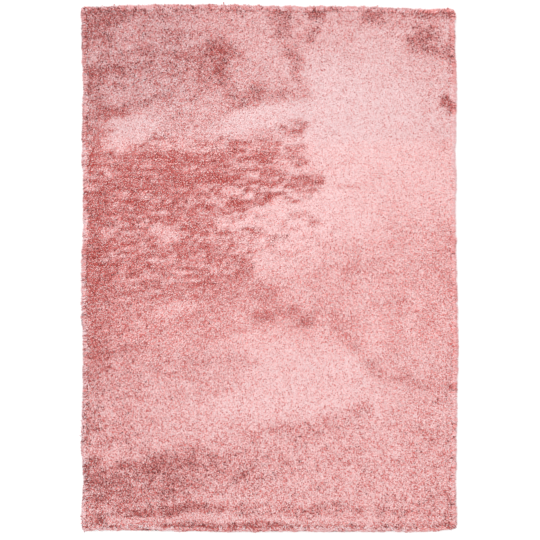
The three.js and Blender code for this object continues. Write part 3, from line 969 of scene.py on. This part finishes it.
def plantPile():
    random = np.random.default_rng(11)
    x, y, hanging = tipPlaces(random)
    count = len(x)
    stand = standAt(x, y)
    cx, cy, clear, own = clumpsAt(x, y, *pile["clumps"], 21)
    out, outward, trimmed = turnedOut(x, y, hanging)
    lean = combedWay(x, y, own, out, outward, trimmed, random)
    rimReach = blend(lay["rimReach"], lay["trimmedReach"], trimmed)
    reach = blend(blend(*lay["reach"], stand), rimReach, out) * random.uniform(*lay["unequal"], count)
    backX, backY = np.stack([x, y]) - lean.T * reach
    gather = pile["gather"] * stand * (1 - out)
    tipX, tipY = blend(x, cx, gather), blend(y, cy, gather)
    fewer = 1 - pile["rimFewer"] * out
    # a share of tufts is painted darkest, as shade in holes in the pile
    shadowTuftsHere = pile["shadowTufts"] * (zoned(x, y, *pile["shadowTuftsOver"]) * fewer)
    shadowTufts = random.random(count) < shadowTuftsHere * smoothStep(*pile["shadowTuftsStand"], stand)
    # the tips: lower between clumps, and down to the floor where they hang
    dropped = (1 - smoothStep(*lay["gapWide"], clear)) * blend(*lay["clumpGap"], stand)
    sunk = np.maximum(pile["rimClear"] - np.min(insets(x, y), axis=0), 0)
    surface = topAt(*(np.stack([tipX, tipY]) - unit(outward).T * sunk))
    tipZ = surface - (dropped + random.uniform(0, 1, count) * blend(*lay["uneven"], stand)) * fewer
    tipZ = np.maximum(tipZ, random.uniform(*lay["lowestTip"], count))
    tipZ = np.where(shadowTufts, surface + lay["shadowTuftRise"], tipZ)
    tipZ = np.where(hanging, random.uniform(*lay["hangingTip"], count), tipZ)
    tips = np.stack([tipX, tipY, tipZ], 1)
    # the roots: some tufts stand straight up, and the others lie the way that they are combed
    standing = np.maximum(smoothStep(*lay["uprightStand"], stand), lay["uprightLeast"])
    upright = random.random(count) < standing * (1 - smoothStep(*lay["uprightRim"], out))
    below = blend(*lay["rootBelow"], stand * (1 - out))
    backZ = topAt(backX, backY) - below - hanging * pile["skirtDrop"]
    lyingRoot = np.stack([backX, backY, blend(backZ, tipZ, lay["rootDroop"])], 1)
    tall = lay["tall"] * random.uniform(*lay["varied"], count)
    leant = lay["uprightLean"]
    standingRoot = np.stack([blend(tipX, backX, leant), blend(tipY, backY, leant), tipZ - tall], 1)
    roots = np.where(upright[:, None], standingRoot, lyingRoot)
    roots[:, 2] = np.maximum(roots[:, 2], lay["rootLowest"])
    thick = lay["thick"] * random.uniform(*lay["varied"], count)
    uprightThick = lay["uprightThick"] + lay["shadowTuftThick"] * shadowTufts
    thick *= np.where(upright, uprightThick, blend(*lay["lyingThick"], stand))
    thick *= 1 + lay["hangingThick"] * hanging
    flat = np.where(upright, lay["uprightFlat"], blend(*lay["lyingFlat"], stand))
    anyTurn = random.uniform(0, 6, count)
    turn = np.where(upright, anyTurn, -math.pi / 2 + random.normal(0, lay["twist"], count))
    shade, hue = yarnShades(x, y, stand, out, trimmed, clear, own, shadowTufts, upright, random)
    rootDepth = np.where(upright, lay["uprightRootUp"], blend(*lay["rootUp"], stand))
    upwards = unit(np.column_stack([outward * tuft["rimTilt"], 1 - tuft["rimTilt"] * out]))
    fluff = tuft["fluff"] * (1 - tuft["rimFluff"] * out)
    values = (roots, tips, thick, flat, turn, shade, hue, rootDepth, upwards, fluff)
    made = []
    for number, part in enumerate(np.array_split(np.argsort(y, kind="stable"), pile["pieces"]), 1):
        made.append(makeTufts(f"pile_tufts_{number}", *(value[part] for value in values)))
    print("rug:", count, "tufts planted")
    return made


undercoat = {
    "flatDepth": 3.5 * mm,  # below the pile's surface where it is combed flat
    "depth": 9 * mm,  # and where it stands
    "inset": 15 * mm,  # in from the rim
    "lumps": 1.2 * mm,
    "lumpSwells": [(1, 0.012, 0.009, 51)],
    "underside": 6.2 * mm,  # above the floor, where it passes over the binding
    "rimThick": 1.5 * mm,
    "undercut": 0.996,  # the rim's lower edge, drawn in from its upper edge
    "seat": 2.7 * mm,  # its lowest face, just clear of the backing
    "seatInset": 33 * mm,
    # the colours in flat pile, with painted sheen, and in standing pile, with painted shade, and of the
    # painted shade in the gaps between fibres
    "fibres": ((0.92, 0.78, 0.79, 1), (0.80, 0.17, 0.15, 1)),
    "fibreGapShade": ((0.80, 0.52, 0.53, 1), (0.12, 0.012, 0.010, 1)),
    "gapContrast": 3.2,
    "gapShare": 1.1,
    "fibreScale": 360.0,
}


def undercoatMaterial():
    shader = Shader("undercoatYarn", Roughness=0.85, Specular_IOR_Level=0.2)
    place = shader.add("ShaderNodeTexCoord", output=3)
    fibre = shader.add("ShaderNodeTexNoise", Vector=place, Scale=undercoat["fibreScale"], Detail=2.0)
    stand = shader.add("ShaderNodeAttribute", {"attribute_name": "stand"}, output=2)
    # painted shade in the gaps between fibres, and painted sheen or shade by how far the pile stands
    fibreGapShade = (fibre * undercoat["gapContrast"]).sum("SUBTRACT", undercoat["gapShare"], clamp=True)
    pale = shader.mix(stand, *undercoat["fibres"])
    gapShadeColour = shader.mix(stand, *undercoat["fibreGapShade"])
    bumpy = shader.add("ShaderNodeBump", Height=fibre, Strength=0.5, Distance=2 * mm)
    return shader.finish(Base_Color=shader.mix(fibreGapShade, pale, gapShadeColour), Normal=bumpy)


def makeUndercoat():
    shape = cloth.copy()
    shape.normal_update()
    lower = [face for face in shape.faces if face.normal.z < 0.01]
    bmesh.ops.delete(shape, geom=lower, context="FACES")
    drawnIn = (1 - undercoat["inset"] / high.x, 1 - undercoat["inset"] / high.y, 1)
    bmesh.ops.scale(shape, verts=shape.verts, vec=drawnIn)
    bmesh.ops.subdivide_edges(shape, edges=shape.edges, cuts=2, use_grid_fill=True)
    places = np.array([v.co[:2] for v in shape.verts]).T
    stand = standAt(*places)
    depth = blend(undercoat["flatDepth"], undercoat["depth"], stand)
    lumps = layered(*places, undercoat["lumpSwells"]) * undercoat["lumps"]
    underside = undercoat["underside"]
    heights = np.maximum(topAt(*places) - depth + lumps * stand, underside + undercoat["rimThick"])
    for vertex, height in zip(shape.verts, heights):
        vertex.co.z = height
    # down its rim, in below, and down again to its seat on the backing
    toSeat = (high.x - undercoat["seatInset"]) / (high.x - undercoat["inset"])
    steps = ((undercoat["undercut"], underside), (toSeat, underside), (1, undercoat["seat"]))
    edges = [edge for edge in shape.edges if edge.is_boundary]
    for shrink, height in steps:
        made = bmesh.ops.extrude_edge_only(shape, edges=edges)["geom"]
        verts = [part for part in made if isinstance(part, bmesh.types.BMVert)]
        edges = [part for part in made if isinstance(part, bmesh.types.BMEdge) and part.is_boundary]
        bmesh.ops.scale(shape, verts=verts, vec=(shrink, shrink, 1))
        for vertex in verts:
            vertex.co.z = height
    bmesh.ops.contextual_create(shape, geom=edges)
    bmesh.ops.triangulate(shape, faces=[face for face in shape.faces if len(face.verts) > 4])
    bmesh.ops.recalc_face_normals(shape, faces=shape.faces)
    piece = pieceFromShape("pile_undercoat", shape, undercoatMaterial())
    points = np.array([v.co[:2] for v in piece.data.vertices])
    layer = piece.data.attributes.new("stand", "FLOAT", "POINT")
    layer.data.foreach_set("value", standAt(*points.T).astype(np.float32))
    print("rug: undercoat laid,", len(piece.data.polygons), "faces")
    return piece


backing = {
    "thick": 2.5 * mm,
    "edgeRound": 0.7 * mm,
    "weave": 2.4 * mm,  # from one thread of the weave to the next but one
    "rowPitch": 8 * mm,  # between the rows of stitches that hold the tufts
    "rowHalf": 0.17,  # half of a row's width, as a share of that
    "rowShift": 0.37,  # how far each row's stitches are shifted, as a share of a stitch
    "stitchPitch": 7 * mm,
    "stitchLong": 0.72,  # of its pitch
    # the darkest and palest of each thread
    "weaveThread": ((0.45, 0.38, 0.29, 1), (0.78, 0.71, 0.60, 1)),
    "stitchThread": ((0.50, 0.20, 0.20, 1), (0.86, 0.52, 0.51, 1)),
}


def backingMaterial():
    shader = Shader("wovenBacking", Roughness=0.9, Specular_IOR_Level=0.2)
    place = shader.add("ShaderNodeTexCoord", output=3)
    x, y = shader.acrossAndUp(place)
    warp = (x * (math.tau / backing["weave"])).sum("SINE")
    weft = (y * (math.tau / backing["weave"])).sum("SINE")
    weave = warp * weft * 0.5 + 0.5
    grain = shader.add("ShaderNodeTexNoise", Vector=place, Scale=240.0, Detail=4.0)
    row = x / backing["rowPitch"]
    stitch = (y / backing["stitchPitch"] + row.sum("FLOOR") * backing["rowShift"]).sum("FRACT")
    inRow = (row.sum("FRACT") - 0.5).sum("ABSOLUTE").sum("LESS_THAN", backing["rowHalf"])
    stitched = inRow * stitch.sum("LESS_THAN", backing["stitchLong"])
    woven = shader.mix(weave * 0.6 + grain * 0.4, *backing["weaveThread"])
    thread = shader.mix(grain, *backing["stitchThread"])
    height = weave * 0.4 + stitched + grain * 0.3
    bumpy = shader.add("ShaderNodeBump", Height=height, Strength=0.8, Distance=0.8 * mm)
    return shader.finish(Base_Color=shader.mix(stitched, woven, thread), Normal=bumpy)


def makeBacking():
    shape = cloth.copy()
    tolerance = form["tolerance"]
    upper = [face for face in shape.faces if max(v.co.z for v in face.verts) > tolerance]
    bmesh.ops.delete(shape, geom=upper, context="FACES")
    middle = min(shape.verts, key=lambda v: v.co.length)
    bmesh.ops.dissolve_verts(shape, verts=[middle])
    made = bmesh.ops.extrude_face_region(shape, geom=shape.faces[:])["geom"]
    raised = [part for part in made if isinstance(part, bmesh.types.BMVert)]
    bmesh.ops.translate(shape, verts=raised, vec=(0, 0, backing["thick"]))
    brink = [edge for edge in shape.edges if abs(edge.verts[0].co.z - edge.verts[1].co.z) < tolerance]
    bmesh.ops.bevel(
        shape, geom=brink, offset=backing["edgeRound"], segments=2, affect="EDGES", profile=0.5, material=-1
    )
    bmesh.ops.recalc_face_normals(shape, faces=shape.faces)
    bmesh.ops.triangulate(shape, faces=shape.faces)
    piece = pieceFromShape("woven_backing", shape, backingMaterial())
    print("rug: backing cut,", len(piece.data.polygons), "faces")
    return piece


binding = {
    "outward": 3.15 * mm,  # from the backing's cut edge to the middle of the thread's turns
    "middle": 2.5 * mm,  # above the floor
    "halfWide": 2.3 * mm,  # a turn's size in the valley between two turns
    "halfHigh": 1.95 * mm,
    "ridge": 0.45 * mm,  # how far the thread stands out of the valleys
    "pitch": 3.6 * mm,
    "halfThread": 0.49,  # of the pitch, so that a turn stays just clear of the next
    "around": 6,  # steps of thread in a turn
    "slope": 0.9,  # how much a turn's flanks face along the run
    "mitre": 8 * mm,  # where the turns begin to lean to the corner's mitre
    "passing": 3.2 * mm,  # the foot run starts this far past the left run
    "tail": (-0.6165, -0.879),  # where the left run's loose end lies
    "tailThick": 0.7,
    "mapSpread": 0.004,
    "shades": [  # the loose end's two, then the darkest and palest turns of the sewn thread
        (0.00, (0.34, 0.19, 0.21)),
        (0.30, (0.52, 0.33, 0.36)),
        (0.36, (0.50, 0.24, 0.24)),
        (1.00, (0.72, 0.42, 0.42)),
    ],
    "sewnShades": (0.35, 0.95),  # the range of the sewn turns' shades
    "looseShade": 0.06,  # the first of the loose turns' two shades, and how far on the other is
    "looseStripe": 0.2,
    # painted shade in the valleys between turns, none at the ridge
    "valleyShadeToRidge": [(0.1, (0.45, 0.38, 0.38)), (0.8, (1.0, 1.0, 1.0))],
    "mapUp": (0.05, 0.12, 0.95),  # how far up the map the thread's two valleys and its ridge are
}
runSides = ("foot", "right", "head", "left")


def bindingMaterial():
    shader = Shader("overlockThread", Roughness=0.75, Specular_IOR_Level=0.25)
    turn, up = shader.acrossAndUp(shader.add("ShaderNodeUVMap", {"uv_map": "OFBake"}))
    shade = shader.add("ShaderNodeValToRGB", {"stops": binding["shades"]}, i0=turn)
    # the valleys between turns are painted darker, as shade
    valleyShade = shader.add("ShaderNodeValToRGB", {"stops": binding["valleyShadeToRidge"]}, i0=up)
    return shader.finish(Base_Color=shader.mix(1.0, shade, valleyShade, "MULTIPLY"))


def bindingPath(number):
    # the middle of one run of overlock, from corner to corner round the backing's cut edge
    edge = ringAt(0)
    ways = np.array([(-1, -1), (1, -1), (1, 1), (-1, 1)])
    corners = [int(np.argmax(edge @ way)) for way in ways]
    after = (number + 1) % 4
    count = (corners[after] - corners[number]) % len(edge) + 1
    path = np.roll(edge, -corners[number], axis=0)[:count]
    push = np.tile((ways[number] + ways[after]) / 2, (count, 1))
    push[0] = ways[number]
    push[-1] = ways[after]
    path = path + push * binding["outward"]
    if runSides[number] == "foot":
        path[0, 0] += binding["passing"]
    if runSides[number] == "left":
        path = np.vstack([path, binding["tail"]])
    return path


def makeBinding(number, material):
    # a thread of three faces, two of them its flanks, wound round the edge with its turns side by side
    side = runSides[number]
    path = bindingPath(number)
    run = np.concatenate([[0], np.cumsum(np.hypot(*np.diff(path, axis=0).T))])
    pitch = binding["pitch"]
    half = binding["halfThread"] * pitch
    count = int((run[-1] - 2 * half) / pitch * binding["around"])
    place = np.linspace(half, run[-1] - half, count)

    def at(distance):
        return np.stack([np.interp(distance, run, path[:, k]) for k in (0, 1)], 1)

    ahead = unit(at(place + half) - at(place - half))
    aside = np.stack([ahead[:, 1], -ahead[:, 0]], 1)
    lean = np.zeros(count)
    if side != "foot":
        lean -= smoothStep(binding["mitre"], 0, place)
    if side != "left":
        lean += smoothStep(run[-1] - binding["mitre"], run[-1], place)
    loose = smoothStep(run[-2] - pitch, run[-2] + pitch, place) if side == "left" else np.zeros(count)
    taper = blend(1, binding["tailThick"], loose)
    angle = place / pitch * math.tau
    points = []
    normals = []
    for shift, ridge in ((-half, 0), (half, 0), (0, binding["ridge"])):
        wide = (binding["halfWide"] + ridge) * taper * np.cos(angle)
        tall = (binding["middle"] + (binding["halfHigh"] + ridge) * np.sin(angle)) * taper
        across = at(place + shift) + (aside + ahead * lean[:, None]) * wide[:, None]
        points.append(np.column_stack([across, tall]))
        flank = aside * np.cos(angle)[:, None] + ahead * (np.sign(shift) * binding["slope"])
        normals.append(unit(np.column_stack([flank, np.sin(angle)])))
    points = np.stack(points, 1).reshape(-1, 3)
    normals = np.stack(normals, 1).reshape(-1, 3)
    steps = np.arange(count - 1)[:, None, None] * 3
    faces = ((0, 1), (1, 2), (2, 0))
    bands = [(a, a + 3, b + 3) for a, b in faces] + [(a, b + 3, b) for a, b in faces]
    last = 3 * (count - 1)
    ends = np.array([(0, 1, 2), (last, last + 2, last + 1)])
    triangles = np.concatenate([(steps + np.array(bands)).reshape(-1, 3), ends])
    corners = points[triangles]
    if np.einsum("ij,ij->", corners[:, 0], np.cross(corners[:, 1], corners[:, 2])) < 0:
        triangles = triangles[:, ::-1]
    normals = normals[triangles]
    normals[-len(ends):] = facing(points[triangles[-len(ends):]])[:, None]
    # across its map the shade of each turn, at random where sewn and striped where loose
    random = np.random.default_rng(81 + number)
    sewn = random.uniform(*binding["sewnShades"], int(run[-1] / pitch) + 2)[(place / pitch).astype(int)]
    striped = binding["looseShade"] + binding["looseStripe"] * (np.floor(place / pitch) % 2)
    shades = blend(sewn, striped, loose) + binding["mapSpread"] * (-1.0) ** np.arange(count)
    places = np.stack([np.repeat(shades, 3), np.tile(binding["mapUp"], count)], 1)
    piece = pieceFromArrays(f"overlock_{side}", points, triangles, places, normals, material)
    print("rug: overlocked the", side + ",", len(triangles), "faces")
    return piece


studio = {
    "viewWide": 1.789,  # metres across the camera's view at the rug
    "lens": 85,  # millimetres, as is the film's width
    "film": 36,
    "aim": (0.002, -0.006),
    "rugHigh": 20 * mm,  # the height where the view is that wide
    "world": 0.85,
    "keyFrom": (-0.55, 0.75, 2.0),
    "keySoftness": 40,  # degrees
    "keyPower": 1.55,
    "floorSize": 6,
    "floorDown": 0.5 * mm,
    "floorGlow": 0.10,
}

floorForm = bmesh.new()
bmesh.ops.create_grid(floorForm, x_segments=1, y_segments=1, size=studio["floorSize"])
bmesh.ops.translate(floorForm, verts=floorForm.verts, vec=(0, 0, -studio["floorDown"]))
floorPaint = Shader("floorPaint", Roughness=0.9, Base_Color=(0.9, 0.9, 0.9, 1))
floorPaint.finish(Emission_Color=(1, 1, 1, 1), Emission_Strength=studio["floorGlow"])
floor = pieceFromShape("floor", floorForm, floorPaint.material)

camera = bpy.data.objects.new("camera", bpy.data.cameras.new("camera"))
camera.data.lens = studio["lens"]
camera.data.sensor_width = studio["film"]
distance = studio["viewWide"] * studio["lens"] / studio["film"]
camera.location = (*studio["aim"], distance + studio["rugHigh"])
bpy.context.scene.collection.objects.link(camera)
bpy.context.scene.camera = camera

key = bpy.data.objects.new("key", bpy.data.lights.new("key", "SUN"))
key.data.energy = studio["keyPower"]
key.data.angle = math.radians(studio["keySoftness"])
key.rotation_euler = Vector(studio["keyFrom"]).to_track_quat("Z", "Y").to_euler()
bpy.context.scene.collection.objects.link(key)

world = bpy.data.worlds.new("studio")
world.use_nodes = True
world.node_tree.nodes["Background"].inputs["Color"].default_value = (1, 1, 1, 1)
world.node_tree.nodes["Background"].inputs["Strength"].default_value = studio["world"]
bpy.context.scene.world = world
bpy.context.scene.view_settings.view_transform = "Standard"
print("rug: studio set")

base = makeBacking()
pilePieces = [makeUndercoat(), *plantPile()]
for piece in pilePieces:
    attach(piece, "root")
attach(base, "root")
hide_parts("pile_cloth")
thread = bindingMaterial()
for number, side in enumerate(runSides):
    run = makeBinding(number, thread)
    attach(run, "root")
    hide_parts("binding_" + side)
